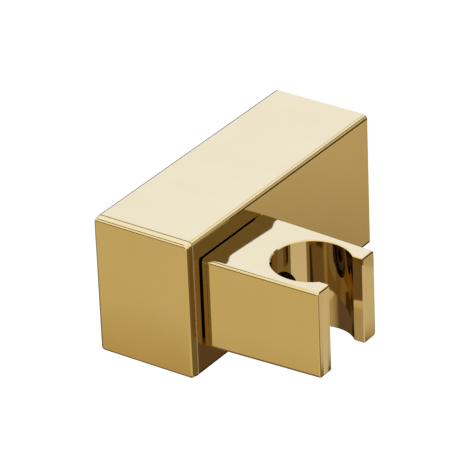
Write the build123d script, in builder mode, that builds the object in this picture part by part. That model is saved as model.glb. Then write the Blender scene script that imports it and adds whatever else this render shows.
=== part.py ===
# Square hand shower holder: a hollow bracket body on a wall plate, and a forked cradle that swivels on its side.
# Frame: millimetres, +Z up, +Y into the wall, +X towards the cradle. The origin is the middle of the wall face.
import os
from math import cos, radians

from build123d import *

# Bracket body
body_width = 31.6
body_length = 88.4
body_height = 42.0
body_wall = 3.0
body_edge_radius = 1.4
cavity_corner_radius = 1.2

# Front of the body: a crown that tapers a little, with a rounded rim and a fine seam line behind it
crown_depth = 2.4
crown_taper = 8.0
crown_rim_radius = 0.8
seam_width = 0.3
seam_depth = 0.25

# Pivot: where it crosses the body's side, and the pad that backs it inside
pivot_from_front = 20.3
pivot_above_middle = 0.9
pivot_pad_radius = 9.0
pivot_pad_depth = 3.0
pivot_hole_clearance = 0.2

# Cradle: a fork with draft on all four sides, a round seat and an open slot for the hose
cradle_gap = 0.5
cradle_length = 36.6
cradle_base_width = 30.0
cradle_tip_width = 27.5
cradle_base_height = 27.4
cradle_tip_height = 26.5
cradle_edge_radius = 1.0
cradle_tip_radius = 0.5
cradle_back_radius = 0.2
cradle_web = 5.5
seat_diameter = 22.4
seat_to_tip = 11.0
seat_rim_chamfer = 0.3
slot_width = 16.2

# Pivot screw: low head, hexagon socket
screw_diameter = 6.0
screw_length = 25.0
screw_head_diameter = 10.0
screw_head_height = 4.0
screw_head_chamfer = 0.5
screw_end_chamfer = 0.8
screw_socket_flats = 4.0
screw_socket_depth = 2.3
thread_clearance = 0.05

# Springs, washers and bush between the screw's head and the cradle
spring_outer = 12.0
spring_thickness = 0.6
spring_rise = 0.3
thrust_washer_outer = 12.0
thrust_washer_thickness = 1.0
bush_wall = 1.5
bush_flange_outer = 12.0
bush_flange_thickness = 1.0
bush_end_clearance = 0.2
bush_running_clearance = 0.06
bush_press_clearance = 0.02
washer_hole_clearance = 0.15
counterbore_clearance = 0.15

# Friction washer, let into the body's side and standing proud by the gap
friction_washer_outer = 21.8
friction_washer_recess = 1.5
friction_washer_clearance = 0.1

# Lock nut with a nylon insert, and its washer, inside the body
nut_washer_outer = 12.0
nut_washer_thickness = 1.6
nut_flats = 10.0
nut_hexagon_height = 4.4
nut_collar_height = 1.6
nut_collar_outer = 9.2
insert_outer = 7.6

# Wall plate, folded from sheet, with a waist between its flanges
plate_thickness = 2.0
plate_flange_depth = 14.0
plate_bend_radius = 1.0
plate_clearance = 0.5
plate_waist = 16.0
plate_waist_height = 25.0
plate_waist_radius = 2.0
wall_hole_diameter = 5.2
wall_hole_spacing = 18.0

# Lock screw under the body: its dog point stands in the wall plate's lower flange
lock_from_wall = 8.0
lock_diameter = 5.0
lock_recess = 0.4
lock_point_diameter = 3.4
lock_point_length = 3.0
lock_point_clearance = 0.2
lock_socket_flats = 2.5
lock_socket_depth = 1.8

# Places worked out from the sizes above
body_side = body_width / 2
body_top = body_height / 2
body_seam = body_length - crown_depth
cavity_width = body_width - 2 * body_wall
cavity_height = body_height - 2 * body_wall
pivot_y = pivot_from_front - body_length
pivot_z = pivot_above_middle
cradle_back = body_side + cradle_gap
cradle_tip = cradle_back + cradle_length
cradle_cut = max(cradle_base_width, cradle_base_height)
seat_radius = seat_diameter / 2
seat_x = cradle_tip - seat_to_tip
pad_face = body_side - body_wall - pivot_pad_depth
thread_radius = screw_diameter / 2
shank_radius = thread_radius - thread_clearance
washer_hole_radius = thread_radius + washer_hole_clearance
bush_inner_radius = shank_radius + bush_running_clearance
bush_outer_radius = bush_inner_radius + bush_wall
counterbore_radius = max(spring_outer, thrust_washer_outer, bush_flange_outer) / 2 + counterbore_clearance

# The stack on the pivot screw, from the cradle's web out to the screw's head
counterbore_floor = cradle_back + cradle_web
thrust_washer_x = counterbore_floor + bush_flange_thickness
inner_spring_x = thrust_washer_x + thrust_washer_thickness
outer_spring_x = inner_spring_x + spring_thickness + spring_rise
screw_head_x = outer_spring_x + spring_thickness + spring_rise
nut_x = pad_face - nut_washer_thickness
collar_x = nut_x - nut_hexagon_height

# Planes on the pivot: across it, facing out of the body's side, and along it
pivot_across = Plane(origin=(0, pivot_y, pivot_z), x_dir=(0, 1, 0), z_dir=(1, 0, 0))
pivot_along = Plane(origin=(0, pivot_y, pivot_z), x_dir=(1, 0, 0), z_dir=(0, -1, 0))
pivot_line = Axis(origin=(0, pivot_y, pivot_z), direction=(1, 0, 0))
lock_plane = Plane(origin=(0, -lock_from_wall, -body_top), x_dir=(1, 0, 0), z_dir=(0, 0, -1))


def corner_radius(flats):
    return flats / 2 / cos(radians(30))


# Bracket body: a casting, open at the wall, with a pad inside that runs from the pivot to the front wall
with BuildPart() as bracket_body:
    with BuildSketch(Plane.XZ):
        RectangleRounded(body_width, body_height, body_edge_radius)
    extrude(amount=body_seam)
    with BuildSketch(Plane.XZ.offset(body_seam)):
        RectangleRounded(body_width, body_height, body_edge_radius)
    extrude(amount=crown_depth, taper=crown_taper)
    fillet(bracket_body.faces().sort_by(Axis.Y)[0].edges(), radius=crown_rim_radius)
    with BuildSketch(Plane.XZ.offset(body_seam)):
        Rectangle(body_width + seam_depth, body_height + seam_depth)
        RectangleRounded(
            body_width - 2 * seam_depth,
            body_height - 2 * seam_depth,
            body_edge_radius - seam_depth,
            mode=Mode.SUBTRACT,
        )
    extrude(amount=seam_width, mode=Mode.SUBTRACT)
    with BuildSketch(Plane.XZ):
        RectangleRounded(cavity_width, cavity_height, cavity_corner_radius)
    extrude(amount=body_length - body_wall, mode=Mode.SUBTRACT)
    with BuildSketch(pivot_across.offset(pad_face)):
        Circle(pivot_pad_radius)
        with Locations((-(pivot_from_front - body_wall) / 2, 0)):
            Rectangle(pivot_from_front - body_wall, 2 * pivot_pad_radius)
    extrude(amount=pivot_pad_depth)
    with Locations(pivot_across.offset(body_side)):
        CounterBoreHole(
            radius=thread_radius + pivot_hole_clearance,
            counter_bore_radius=friction_washer_outer / 2 + friction_washer_clearance,
            counter_bore_depth=friction_washer_recess,
            depth=body_wall + pivot_pad_depth,
        )
    with Locations(lock_plane):
        Hole(radius=lock_diameter / 2, depth=body_wall)
bracket_body.part.label = "bracket_body"

# Cradle: its plan cut by its side view gives the draft, then the seat, the slot and the counterbore
with BuildPart() as cradle:
    with BuildSketch(Plane.XY.offset(pivot_z)):
        with BuildLine():
            Polyline(
                (cradle_back, pivot_y - cradle_base_width / 2),
                (cradle_tip, pivot_y - cradle_tip_width / 2),
                (cradle_tip, pivot_y + cradle_tip_width / 2),
                (cradle_back, pivot_y + cradle_base_width / 2),
                close=True,
            )
        make_face()
    extrude(amount=cradle_cut, both=True)
    with BuildSketch(pivot_along):
        with BuildLine():
            Polyline(
                (cradle_back, -cradle_base_height / 2),
                (cradle_tip, -cradle_tip_height / 2),
                (cradle_tip, cradle_tip_height / 2),
                (cradle_back, cradle_base_height / 2),
                close=True,
            )
        make_face()
    extrude(amount=cradle_cut, both=True, mode=Mode.INTERSECT)
    end_edges = cradle.faces().sort_by(Axis.X)[0].edges() + cradle.faces().sort_by(Axis.X)[-1].edges()
    fillet(cradle.edges() - end_edges, radius=cradle_edge_radius)
    fillet(cradle.faces().sort_by(Axis.X)[-1].edges(), radius=cradle_tip_radius)
    fillet(cradle.faces().sort_by(Axis.X)[0].edges(), radius=cradle_back_radius)
    with BuildSketch(Plane.XY.offset(pivot_z)):
        with Locations((seat_x, pivot_y)):
            Circle(seat_radius)
        with Locations((seat_x + cradle_length / 2, pivot_y)):
            Rectangle(cradle_length, slot_width)
    extrude(amount=cradle_cut, both=True, mode=Mode.SUBTRACT)
    chamfer(cradle.edges(Select.NEW), length=seat_rim_chamfer)
    with Locations(pivot_across.offset(seat_x)):
        CounterBoreHole(
            radius=bush_outer_radius + bush_press_clearance,
            counter_bore_radius=counterbore_radius,
            counter_bore_depth=seat_x - counterbore_floor,
            depth=seat_x - cradle_back,
        )
cradle.part.label = "cradle"

# Pivot screw: a turned profile, with the socket cut into its head
with BuildPart() as pivot_screw:
    with BuildSketch(pivot_along):
        with BuildLine():
            Polyline(
                (screw_head_x - screw_length, 0),
                (screw_head_x - screw_length, shank_radius - screw_end_chamfer),
                (screw_head_x - screw_length + screw_end_chamfer, shank_radius),
                (screw_head_x, shank_radius),
                (screw_head_x, screw_head_diameter / 2),
                (screw_head_x + screw_head_height, screw_head_diameter / 2),
                (screw_head_x + screw_head_height, 0),
                close=True,
            )
        make_face()
    revolve(axis=pivot_line)
    chamfer(pivot_screw.faces().sort_by(Axis.X)[-1].edges(), length=screw_head_chamfer)
    with BuildSketch(pivot_across.offset(screw_head_x + screw_head_height)):
        RegularPolygon(corner_radius(screw_socket_flats), 6)
    extrude(amount=-screw_socket_depth, mode=Mode.SUBTRACT)
pivot_screw.part.label = "pivot_screw"

# Disc springs: two cones that meet at their outer edges
with BuildPart() as disc_spring_inner:
    with BuildSketch(pivot_along):
        with BuildLine():
            Polyline(
                (inner_spring_x, washer_hole_radius),
                (inner_spring_x + spring_rise, spring_outer / 2),
                (inner_spring_x + spring_rise + spring_thickness, spring_outer / 2),
                (inner_spring_x + spring_thickness, washer_hole_radius),
                close=True,
            )
        make_face()
    revolve(axis=pivot_line)
disc_spring_inner.part.label = "disc_spring_inner"

with BuildPart() as disc_spring_outer:
    with BuildSketch(pivot_along):
        with BuildLine():
            Polyline(
                (outer_spring_x + spring_rise, washer_hole_radius),
                (outer_spring_x, spring_outer / 2),
                (outer_spring_x + spring_thickness, spring_outer / 2),
                (outer_spring_x + spring_rise + spring_thickness, washer_hole_radius),
                close=True,
            )
        make_face()
    revolve(axis=pivot_line)
disc_spring_outer.part.label = "disc_spring_outer"

# Washers on the pivot screw
with BuildPart() as thrust_washer:
    with BuildSketch(pivot_across.offset(thrust_washer_x)):
        Circle(thrust_washer_outer / 2)
        Circle(washer_hole_radius, mode=Mode.SUBTRACT)
    extrude(amount=thrust_washer_thickness)
thrust_washer.part.label = "thrust_washer"

with BuildPart() as friction_washer:
    with BuildSketch(pivot_across.offset(body_side - friction_washer_recess)):
        Circle(friction_washer_outer / 2)
        Circle(washer_hole_radius, mode=Mode.SUBTRACT)
    extrude(amount=friction_washer_recess + cradle_gap)
friction_washer.part.label = "friction_washer"

with BuildPart() as nut_washer:
    with BuildSketch(pivot_across.offset(nut_x)):
        Circle(nut_washer_outer / 2)
        Circle(washer_hole_radius, mode=Mode.SUBTRACT)
    extrude(amount=nut_washer_thickness)
nut_washer.part.label = "nut_washer"

# Pivot bush: a sleeve in the cradle's web with a flange on the counterbore's floor
with BuildPart() as pivot_bush:
    with BuildSketch(pivot_across.offset(cradle_back + bush_end_clearance)):
        Circle(bush_outer_radius)
    extrude(amount=cradle_web - bush_end_clearance)
    with BuildSketch(pivot_across.offset(counterbore_floor)):
        Circle(bush_flange_outer / 2)
    extrude(amount=bush_flange_thickness)
    with Locations(pivot_across.offset(thrust_washer_x)):
        Hole(radius=bush_inner_radius)
pivot_bush.part.label = "pivot_bush"

# Lock nut: a hexagon with a round collar that holds the nylon insert
with BuildPart() as lock_nut:
    with BuildSketch(pivot_across.offset(collar_x)):
        RegularPolygon(corner_radius(nut_flats), 6)
    extrude(amount=nut_hexagon_height)
    with BuildSketch(pivot_across.offset(collar_x)):
        Circle(nut_collar_outer / 2)
    extrude(amount=-nut_collar_height)
    with Locations(Plane(origin=(collar_x - nut_collar_height, pivot_y, pivot_z), z_dir=(-1, 0, 0))):
        CounterBoreHole(
            radius=thread_radius,
            counter_bore_radius=insert_outer / 2,
            counter_bore_depth=nut_collar_height,
        )
lock_nut.part.label = "lock_nut"

with BuildPart() as nut_insert:
    with BuildSketch(pivot_across.offset(collar_x - nut_collar_height)):
        Circle(insert_outer / 2)
        Circle(shank_radius, mode=Mode.SUBTRACT)
    extrude(amount=nut_collar_height)
nut_insert.part.label = "nut_insert"

# Wall plate: a folded channel, its base waisted between the flanges
with BuildPart() as wall_plate:
    with BuildSketch(Plane.YZ) as channel:
        with Locations((-plate_flange_depth / 2, 0)):
            Rectangle(plate_flange_depth, cavity_height - 2 * plate_clearance)
        fillet(channel.vertices().group_by(Axis.Y)[-1], radius=plate_bend_radius + plate_thickness)
        with BuildSketch(Plane.XY, mode=Mode.SUBTRACT) as inside:
            with Locations((-plate_thickness - plate_flange_depth / 2, 0)):
                Rectangle(plate_flange_depth, cavity_height - 2 * plate_clearance - 2 * plate_thickness)
            fillet(inside.vertices().group_by(Axis.X)[-1], radius=plate_bend_radius)
    extrude(amount=cavity_width / 2 - plate_clearance, both=True)
    with BuildSketch(Plane.XZ):
        for side in (-1, 1):
            with Locations((side * (plate_waist + cavity_width) / 2, 0)):
                RectangleRounded(cavity_width, plate_waist_height, plate_waist_radius)
    extrude(amount=plate_thickness, mode=Mode.SUBTRACT)
    with Locations(Plane.XZ):
        with GridLocations(0, wall_hole_spacing, 1, 2):
            Hole(radius=wall_hole_diameter / 2, depth=plate_thickness)
    with Locations(lock_plane):
        Hole(radius=lock_point_diameter / 2 + lock_point_clearance, depth=body_top)
wall_plate.part.label = "wall_plate"

# Lock screw: thread in the body's underside, dog point in the wall plate, hexagon socket below
with BuildPart() as lock_screw:
    with BuildSketch(lock_plane.offset(-lock_recess)):
        Circle(lock_diameter / 2 - thread_clearance)
    extrude(amount=lock_recess - body_wall)
    with BuildSketch(lock_plane.offset(-body_wall)):
        Circle(lock_point_diameter / 2)
    extrude(amount=-lock_point_length)
    with BuildSketch(lock_plane.offset(-lock_recess)):
        RegularPolygon(corner_radius(lock_socket_flats), 6)
    extrude(amount=-lock_socket_depth, mode=Mode.SUBTRACT)
lock_screw.part.label = "lock_screw"

pieces = [
    bracket_body,
    wall_plate,
    lock_screw,
    friction_washer,
    pivot_screw,
    disc_spring_outer,
    disc_spring_inner,
    thrust_washer,
    nut_washer,
    lock_nut,
    nut_insert,
    cradle,
    pivot_bush,
]
os.makedirs("parts", exist_ok=True)
for piece in pieces:
    export_step(piece.part, f"parts/{piece.part.label}.step")
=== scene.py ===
from math import atan2, cos, pi, radians, sin
import bpy
import bmesh
from mathutils import Matrix, Vector

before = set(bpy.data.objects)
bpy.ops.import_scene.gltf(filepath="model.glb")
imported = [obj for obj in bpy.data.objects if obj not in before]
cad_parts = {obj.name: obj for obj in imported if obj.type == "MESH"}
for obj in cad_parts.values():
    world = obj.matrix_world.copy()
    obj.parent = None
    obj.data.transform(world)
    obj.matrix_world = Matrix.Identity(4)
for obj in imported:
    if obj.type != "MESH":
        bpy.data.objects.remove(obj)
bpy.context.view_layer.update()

scene = bpy.context.scene
scene.view_settings.view_transform = "Standard"
print("frame loaded:", len(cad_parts), "nodes")


# a shader socket that can be used in sums
class Wire:
    def __init__(self, tree, socket=None):
        self.tree = tree
        self.socket = socket

    # any node: settings first, then values or links, by socket name or number
    def node(self, kind, settings=None, inputs=None, out=0):
        made = self.tree.nodes.new(kind)
        for name, value in (settings or {}).items():
            if name == "stops":  # the two ends of a ramp
                for element, (position, shade) in zip(made.color_ramp.elements, value):
                    element.position = position
                    element.color = shade
            else:
                setattr(made, name, value)
        for name, value in (inputs or {}).items():
            if isinstance(value, Wire):
                self.tree.links.new(value.socket, made.inputs[name])
            else:
                made.inputs[name].default_value = value
        return Wire(self.tree, made.outputs[out] if len(made.outputs) else None)

    def math(self, operation, *values):
        return self.node("ShaderNodeMath", {"operation": operation}, dict(enumerate(values)))

    def __add__(self, other):
        return self.math("ADD", self, other)

    def __radd__(self, other):
        return self.math("ADD", other, self)

    def __sub__(self, other):
        return self.math("SUBTRACT", self, other)

    def __rsub__(self, other):
        return self.math("SUBTRACT", other, self)

    def __mul__(self, other):
        return self.math("MULTIPLY", self, other)

    def __rmul__(self, other):
        return self.math("MULTIPLY", other, self)

    # 1 where it holds, 0 elsewhere; each is the other's reflected form
    def __gt__(self, other):
        return self.math("GREATER_THAN", self, other)

    def __lt__(self, other):
        return self.math("LESS_THAN", self, other)

    def __abs__(self):
        return self.math("ABSOLUTE", self)

    # one axis of a vector
    def along(self, axis):
        return self.node("ShaderNodeSeparateXYZ", inputs={"Vector": self}, out=axis)

    # 0 below low, 1 above high, straight or eased between
    def between(self, low, high, ease="LINEAR"):
        return self.node("ShaderNodeMapRange", {"interpolation_type": ease},
                         {"Value": self, "From Min": low, "From Max": high})

    # this share of the second colour in the first
    def blend(self, first, second):
        return self.node("ShaderNodeMix", {"data_type": "RGBA"}, {0: self, 6: first, 7: second}, out=2)

    # the same for shaders
    def choose(self, first, second):
        return self.node("ShaderNodeMixShader", inputs={"Fac": self, 1: first, 2: second})


def startFinish(name):
    finish = bpy.data.materials.new(name)
    finish.use_nodes = True
    finish.node_tree.nodes.clear()
    return finish, Wire(finish.node_tree)


def endFinish(pen, shader):
    pen.node("ShaderNodeOutputMaterial", inputs={"Surface": shader})


def speckle(pen, place, scale, detail):
    stretched = pen.node("ShaderNodeMapping", inputs={"Vector": place, "Scale": scale})
    return pen.node("ShaderNodeTexNoise", inputs={"Vector": stretched, "Scale": 1.0, "Detail": detail})


toneEnds = {"deep": 0.3, "pale": 0.7}  # where a speckle is fully deep or pale


def shades(pen, mask, look):
    stops = [(position, (*look[tone], 1)) for tone, position in toneEnds.items()]
    return pen.node("ShaderNodeValToRGB", {"stops": stops}, {"Fac": mask})


# mirror-polished gold: a slow change of tone and fine buffing marks
goldLook = {"deep": (0.845, 0.655, 0.318), "pale": (0.875, 0.685, 0.345), "cloud": (45.0, 45.0, 45.0),
            "cloudDetail": 3.0, "marks": (900.0, 120.0, 2400.0), "marksDetail": 4.0,
            "gloss": 0.045, "marksGloss": 0.02, "buffing": 0.0000004}

# the body's seam: a dull groove between two places on Y, with painted shade: near-black on the flank that
# faces backward
seamLine = {"from": -0.08635, "to": -0.08595, "backward": 0.5, "gloss": 0.35,
            "colour": (0.63, 0.475, 0.23), "shade": (0.02, 0.012, 0.004)}

# the cradle's top: how its polish leans
cradleRoll = {"middle": -0.0681, "upright": 0.9,
              "tilt": 0.036, "bow": 3.1, "wave": 0.085,  # towards the body, outwards, inwards near long rims
              "start": 0.0085, "crest": 0.0134, "end": 0.0165}  # of the wave, from the middle


def rolledFace(pen, place, roll):
    outward = pen.node("ShaderNodeTexCoord", out="Normal")
    upper = outward.along("Z") > roll["upright"]
    off = place.along("Y") - roll["middle"]
    reach = abs(off)
    swell = (reach.between(roll["start"], roll["crest"], "SMOOTHSTEP")
             - reach.between(roll["crest"], roll["end"], "SMOOTHSTEP"))
    sideways = off * roll["bow"] - off.math("SIGN", off) * swell * roll["wave"]
    turn = pen.node("ShaderNodeCombineXYZ", inputs={"X": upper * -roll["tilt"], "Y": upper * sideways})
    rolled = pen.node("ShaderNodeVectorMath", {"operation": "ADD"}, {0: outward, 1: turn})
    return pen.node("ShaderNodeVectorTransform",
                    {"vector_type": "NORMAL", "convert_from": "OBJECT", "convert_to": "WORLD"},
                    {"Vector": rolled})


def polishedGold(name, roll=None, seam=None):
    finish, pen = startFinish(name)
    place = pen.node("ShaderNodeTexCoord", out="Object")
    cloud = speckle(pen, place, goldLook["cloud"], goldLook["cloudDetail"])
    marks = speckle(pen, place, goldLook["marks"], goldLook["marksDetail"])
    relief = {"Strength": 1.0, "Distance": 1.0, "Height": marks * goldLook["buffing"]}
    if roll:
        relief["Normal"] = rolledFace(pen, place, roll)
    sockets = {"Base Color": shades(pen, cloud, goldLook), "Metallic": 1.0,
               "Roughness": goldLook["gloss"] + marks * goldLook["marksGloss"],
               "Normal": pen.node("ShaderNodeBump", inputs=relief)}
    if seam:
        # the seam's dull groove colour, with painted shade on its flank that faces backward
        depth = place.along("Y")
        dull = (depth > seam["from"]) * (depth < seam["to"])
        backward = pen.node("ShaderNodeTexCoord", out="Normal").along("Y") > seam["backward"]
        grooveWithPaintedShade = backward.blend((*seam["colour"], 1), (*seam["shade"], 1))
        sockets["Base Color"] = dull.blend(sockets["Base Color"], grooveWithPaintedShade)
        sockets["Metallic"] = 1.0 - dull
        sockets["Specular IOR Level"] = 0.0
        sockets["Roughness"] = sockets["Roughness"] + dull * seam["gloss"]
    endFinish(pen, pen.node("ShaderNodeBsdfPrincipled", inputs=sockets))
    return finish


# plain metals and plastics of the inner parts, each with its own grain
innerGrain = {"detail": 4.0, "strength": 0.3, "height": 0.00005, "gloss": 0.14}
steelLook = {"deep": (0.50, 0.49, 0.47), "pale": (0.60, 0.59, 0.57), "metal": 1.0,
             "grain": (3000.0, 300.0, 300.0), "gloss": 0.24}
screwLook = {"deep": (0.16, 0.152, 0.145), "pale": (0.23, 0.22, 0.207), "metal": 1.0,
             "grain": (3000.0, 300.0, 300.0), "gloss": 0.24}
springLook = {"deep": (0.26, 0.24, 0.22), "pale": (0.38, 0.35, 0.31), "metal": 1.0,
              "grain": (400.0, 900.0, 900.0), "gloss": 0.34}
nylonLook = {"deep": (0.76, 0.76, 0.71), "pale": (0.83, 0.83, 0.79), "metal": 0.0,
             "grain": (700.0, 700.0, 700.0), "gloss": 0.42}
blackLook = {"deep": (0.012, 0.012, 0.013), "pale": (0.024, 0.023, 0.023), "metal": 0.0,
             "grain": (900.0, 900.0, 900.0), "gloss": 0.42}


def innerFinish(name, look):
    finish, pen = startFinish(name)
    place = pen.node("ShaderNodeTexCoord", out="Object")
    grain = speckle(pen, place, look["grain"], innerGrain["detail"])
    relief = {"Strength": innerGrain["strength"], "Distance": innerGrain["height"], "Height": grain}
    sockets = {"Base Color": shades(pen, grain, look), "Metallic": look["metal"],
               "Roughness": look["gloss"] + grain * innerGrain["gloss"],
               "Normal": pen.node("ShaderNodeBump", inputs=relief)}
    endFinish(pen, pen.node("ShaderNodeBsdfPrincipled", inputs=sockets))
    return finish


bodyGold = polishedGold("polishedGold", seam=seamLine)
cradleGold = polishedGold("polishedGoldCradle", roll=cradleRoll)
stainless = innerFinish("stainless", steelLook)
darkSteel = innerFinish("darkSteel", screwLook)
springSteel = innerFinish("springSteel", springLook)
nylon = innerFinish("naturalNylon", nylonLook)
blackPlastic = innerFinish("blackPlastic", blackLook)
finishes = {"bracket_body": bodyGold, "cradle": cradleGold, "pivot_screw": darkSteel,
            "disc_spring_outer": springSteel, "disc_spring_inner": springSteel, "nut_insert": nylon,
            "pivot_bush": blackPlastic, "friction_washer": blackPlastic}
for name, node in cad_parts.items():
    node.data.materials.clear()
    node.data.materials.append(finishes.get(name, stainless))
print("finishes made:", len(bpy.data.materials))


# the room: pale floor, white surround, soft lamps, and cards that only the polish mirrors
room = {"middle": (0.018, -0.045, 0.0), "floor": -0.26, "floorSize": (30, 30), "cardFoot": -0.258,
        "floorTone": (0.80, 0.80, 0.80, 1), "lift": 0.5, "airTone": (1, 1, 1, 1), "fill": 0.5,
        "echo": 0.17, "echoTone": (1.0, 0.84, 0.5, 1), "dusk": 0.5,  # what is left in a second mirror
        "onceMirrored": 1.5}  # between the first mirror's count and the second's


def seenRays(pen):
    camera, glossy, clear = [pen.node("ShaderNodeLightPath", out=kind)
                             for kind in ("Is Camera Ray", "Is Glossy Ray", "Is Transmission Ray")]
    return camera + glossy + clear


# 1 for light that has already left one mirror
def secondMirror(pen):
    return pen.node("ShaderNodeLightPath", out="Glossy Depth") > room["onceMirrored"]


def glowing(pen, colour, share=1.0):
    return pen.node("ShaderNodeEmission", inputs={"Color": (*[part * share for part in colour], 1)})


# a close card is clear to mirrors nearer or further off than its span
def keepSpan(pen, glow, span):
    away = pen.node("ShaderNodeLightPath", out="Ray Length")
    outside = (away < span[0]) + (away > span[1])
    return outside.choose(glow, pen.node("ShaderNodeBsdfTransparent"))


# a glowing card; echo is what a second mirror still shows of it
def glowFinish(name, colour, echo=1.0, span=None):
    finish, pen = startFinish(name)
    glow = glowing(pen, colour)
    if echo < 1:
        glow = secondMirror(pen).choose(glow, glowing(pen, colour, echo))
    if span:
        glow = keepSpan(pen, glow, span)
    endFinish(pen, glow)
    return finish


# a glow that goes from deep to pale with the distance from a centre: painted shade, deepest near the centre
def fadingGlow(name, look):
    finish, pen = startFinish(name)
    place = pen.node("ShaderNodeTexCoord", out="Object")
    spread = pen.node("ShaderNodeVectorMath", {"operation": "DISTANCE"}, {0: place, 1: look["centre"]},
                      out="Value")
    paintedShadeFade = spread.between(look["inner"], look["outer"])
    glow = paintedShadeFade.choose(glowing(pen, look["deep"]), glowing(pen, look["pale"]))
    glow = secondMirror(pen).choose(glow, glowing(pen, look["deep"], room["dusk"]))
    if "span" in look:
        glow = keepSpan(pen, glow, look["span"])
    endFinish(pen, glow)
    return finish


def putSheet(name, bm, finish, mirrored=True):
    mesh = bpy.data.meshes.new(name)
    bm.to_mesh(mesh)
    bm.free()
    mesh.materials.append(finish)
    sheet = bpy.data.objects.new(name, mesh)
    scene.collection.objects.link(sheet)
    if mirrored:
        sheet.visible_camera = False
        sheet.visible_diffuse = False
        sheet.visible_shadow = False
        sheet.visible_transmission = False


def sheetAt(name, size, spot, turn, finish, mirrored=True):
    bm = bmesh.new()
    bmesh.ops.create_grid(bm, x_segments=1, y_segments=1, size=0.5)  # 1 m square
    bmesh.ops.scale(bm, vec=(*size, 1), verts=bm.verts)
    bmesh.ops.transform(bm, matrix=Matrix.Translation(spot) @ turn, verts=bm.verts)
    putSheet(name, bm, finish, mirrored)


# an upright turn, by the angle of the sheet's lower edge from +X
def upright(angle):
    return Matrix.Rotation(angle, 4, "Z") @ Matrix.Rotation(pi / 2, 4, "X")


floorFinish, pen = startFinish("paleFloor")
ground = pen.node("ShaderNodeBsdfDiffuse", inputs={"Color": room["floorTone"]})
glow = pen.node("ShaderNodeEmission", inputs={"Strength": seenRays(pen) * room["lift"]})
endFinish(pen, pen.node("ShaderNodeAddShader", inputs={0: ground, 1: glow}))
sheetAt("floor", room["floorSize"], (0, 0, room["floor"]), Matrix(), floorFinish, mirrored=False)

world = bpy.data.worlds.new("whiteRoom")
scene.world = world
world.use_nodes = True
world.node_tree.nodes.clear()
pen = Wire(world.node_tree)
strength = (room["fill"] + seenRays(pen) * (1 - room["fill"])
            - secondMirror(pen) * (1 - room["echo"]))
air = pen.node("ShaderNodeBackground", inputs={
    "Color": secondMirror(pen).blend(room["airTone"], room["echoTone"]), "Strength": strength})
pen.node("ShaderNodeOutputWorld", inputs={"Surface": air})

# glowing round table tops, seen only in the polish, with painted shadow: darker under the part
tables = {
    "amberTable": {"spot": (0.018, -0.045, -0.259), "radius": 0.78, "steps": 64,
                   "centre": (-0.20, -0.02, -0.259), "inner": 0.375, "outer": 0.43,
                   "deep": (0.45, 0.335, 0.145), "pale": (0.60, 0.515, 0.32)},
    "tanTable": {"spot": (0.40, 0.45, -0.2585), "radius": 0.28, "steps": 64,
                 "centre": (0.018, -0.045, -0.2585), "inner": 0.43, "outer": 0.54,
                 "deep": (0.367, 0.298, 0.172), "pale": (0.51, 0.433, 0.283)}}
for name, table in tables.items():
    bm = bmesh.new()
    bmesh.ops.create_circle(bm, cap_ends=True, segments=table["steps"], radius=table["radius"])
    bmesh.ops.translate(bm, vec=table["spot"], verts=bm.verts)
    putSheet(name, bm, fadingGlow(name, table))


# small cards close to the cradle, from one lower corner to the opposite upper one
def closeCard(name, finish, low, high):
    low, high = Vector(low), Vector(high)
    span = high - low
    turn = upright(atan2(span.y, span.x))
    sheetAt(name, (span.xy.length, span.z), (low + high) / 2, turn, finish)


# painted shade: a dark glowing card in front of and below the part, mirrored low in the seat, darker towards
# -X
slotShade = {"low": (-0.005, -0.10, -0.0495), "high": (0.037, -0.10, -0.0295), "span": (0.042, 1.0),
             "centre": (-1.0, -0.10, -0.0395), "inner": 1.004, "outer": 1.025,
             "deep": (0.11, 0.07, 0.04), "pale": (0.42, 0.34, 0.21)}
closeCard("slotShade", fadingGlow("slotShade", slotShade), slotShade["low"], slotShade["high"])

# glowing cards for painted reflections: light before the slot, a painted highlight line on the near prong's
# corner, dark painted reflections along the upper edges of the tips
tipCards = {
    "slotLight": {"low": (0.0547, -0.0775, -0.022), "high": (0.0645, -0.0605, 0.006),
                  "glow": {"colour": (0.62, 0.56, 0.46), "echo": 0.35, "span": (0.0, 0.038)}},
    "paleEdgeHighlight": {"low": (0.0530, -0.0832, -0.017), "high": (0.0600, -0.0832, 0.0125),
                 "glow": {"colour": (0.68, 0.575, 0.37), "echo": room["echo"]}},
    "darkTipReflection": {"low": (0.055, -0.080, 0.012), "high": (0.055, -0.045, 0.0165),
                 "glow": {"colour": (0.05, 0.03, 0.01)}}}
for name, card in tipCards.items():
    closeCard(name, glowFinish(name, **card["glow"]), card["low"], card["high"])


# a card that lies flat, from one corner to the opposite one
def lying(name, colour, low, high, level=room["cardFoot"], echo=1.0):
    low, high = Vector((*low, level)), Vector((*high, level))
    sheetAt(name, (high - low).xy, (low + high) / 2, Matrix(), glowFinish(name, colour, echo))


# a card that stands round the part: bearing from the front towards +X, reach, lowest and highest edge
def standing(name, colour, bearing, reach, wide, high, low=room["cardFoot"], echo=1.0):
    angle = radians(bearing)
    spot = Vector((sin(angle), -cos(angle), 0)) * reach + Vector(room["middle"])
    spot.z = (low + high) / 2
    sheetAt(name, (wide, high - low), spot, upright(angle), glowFinish(name, colour, echo))


# a card that is turned to the part
def facing(name, colour, spot, size, echo=1.0):
    turn = (Vector(room["middle"]) - Vector(spot)).to_track_quat("Z", "Y").to_matrix().to_4x4()
    sheetAt(name, size, spot, turn, glowFinish(name, colour, echo))


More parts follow.
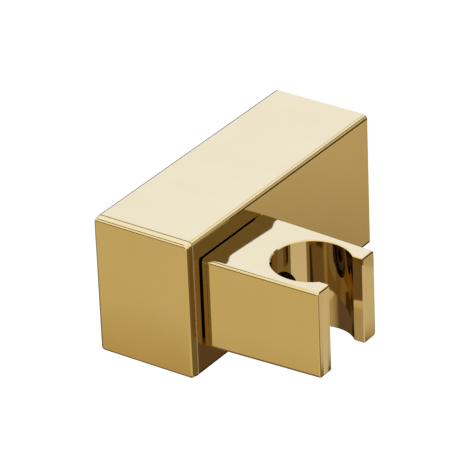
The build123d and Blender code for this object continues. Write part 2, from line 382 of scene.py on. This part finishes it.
floorCards = {
    "darkSide": {"colour": (0.17, 0.12, 0.06), "low": (0.335, -0.62), "high": (0.95, -0.10)},
    "darkBeside": {"colour": (0.17, 0.12, 0.06), "low": (0.21, -0.10), "high": (0.95, 0.20)},
    "darkPatch": {"colour": (0.10, 0.06, 0.03), "low": (0.21, 0.20), "high": (0.285, 0.288), "level": -0.257},
    "darkBehind": {"colour": (0.03, 0.02, 0.012), "low": (-0.60, 0.02), "high": (0.20, 0.30)},
    "brownBehind": {"colour": (0.16, 0.125, 0.10), "low": (-0.60, 0.30), "high": (0.235, 0.75)},
    "darkLeft": {"colour": (0.11, 0.07, 0.04), "low": (-0.41, -0.385), "high": (-0.215, 0.02)},
    "underLeft": {"colour": (0.18, 0.14, 0.09), "low": (-0.215, -0.36), "high": (0.10, 0.02),
                  "level": -0.2575},
    "farLeft": {"colour": (0.30, 0.28, 0.22), "low": (-0.70, -0.385), "high": (-0.41, 0.02)},
    "paleSide": {"colour": (0.60, 0.53, 0.385), "low": (0.286, 0.20), "high": (0.80, 0.338),
                 "echo": room["dusk"]}}
for name, card in floorCards.items():
    lying(name, **card)

wallCards = {
    "darkRight": {"colour": (0.16, 0.13, 0.07), "bearing": 60, "reach": 0.75, "wide": 0.9, "high": 0.05},
    "amberFront": {"colour": (0.61, 0.52, 0.33), "bearing": -36, "reach": 0.70, "wide": 1.0, "high": -0.20},
    "brownFront": {"colour": (0.22, 0.17, 0.06), "bearing": -36, "reach": 0.71, "wide": 1.0,
                   "low": -0.20, "high": 0.15},
    "darkHorizon": {"colour": (0.05, 0.025, 0.006), "bearing": 144, "reach": 0.62, "wide": 0.9,
                    "low": -0.245, "high": -0.01},
    "greyBack": {"colour": (0.53, 0.49, 0.41), "bearing": 144, "reach": 0.62, "wide": 0.9,
                 "low": -0.01, "high": 0.26},
    "darkBack": {"colour": (0.17, 0.145, 0.09), "bearing": 146, "reach": 0.60, "wide": 0.32,
                 "low": 0.27, "high": 0.39},
    "greyLow": {"colour": (0.05, 0.045, 0.04), "bearing": -138, "reach": 0.85, "wide": 0.9, "high": 0.20},
    "coolPanel": {"colour": (0.985, 1.13, 1.63), "bearing": -144, "reach": 0.75, "wide": 0.9,
                  "low": 0.17, "high": 0.56, "echo": room["echo"]},
    "brightBack": {"colour": (1.12, 1.27, 1.80), "bearing": -151, "reach": 0.74, "wide": 0.16,
                   "low": 0.05, "high": 0.28, "echo": room["echo"]}}
for name, card in wallCards.items():
    standing(name, **card)

overhead = {"colour": (1.02, 1.13, 1.38), "low": (-0.80, -0.16), "high": (0.19, 0.70), "level": 0.62,
            "echo": room["echo"]}
lying("overhead", **overhead)

turnedCards = {
    "greyFlag": {"colour": (0.14, 0.12, 0.06), "spot": (-0.277, -0.097, 0.461), "size": (0.24, 0.14)},
    "softLine": {"colour": (0.76, 0.84, 1.02), "spot": (-0.045, 0.310, 0.347), "size": (0.14, 0.12),
                 "echo": room["echo"]}}
for name, card in turnedCards.items():
    facing(name, **card)

# soft lamps above
lamps = {"key": {"spot": (-0.7, -0.5, 1.4), "size": 1.0, "power": 9.0},
         "fill": {"spot": (0.9, -0.7, 1.1), "size": 0.8, "power": 4.0}}
for name, lamp in lamps.items():
    data = bpy.data.lights.new(name, "AREA")
    data.size = lamp["size"]
    data.energy = lamp["power"]
    item = bpy.data.objects.new(name, data)
    item.location = lamp["spot"]
    item.rotation_euler = (Vector(room["middle"]) - Vector(lamp["spot"])).to_track_quat("-Z", "Y").to_euler()
    item.visible_camera = False
    item.visible_glossy = False
    scene.collection.objects.link(item)

# camera at the photograph's angle
view = {"spot": (0.568963, -0.838822, 0.541941), "right": (0.82389765, 0.56560434, -0.03583852),
        "up": (-0.24929802, 0.41848208, 0.87334028), "lens": 306.383, "sensor": 36}
eye = bpy.data.cameras.new("camera")
eye.lens = view["lens"]
eye.sensor_width = view["sensor"]
camera = bpy.data.objects.new("camera", eye)
right, up = Vector(view["right"]), Vector(view["up"])
turn = Matrix((right, up, right.cross(up))).transposed().to_4x4()
camera.matrix_world = Matrix.Translation(view["spot"]) @ turn
scene.collection.objects.link(camera)
scene.camera = camera
print("camera set")
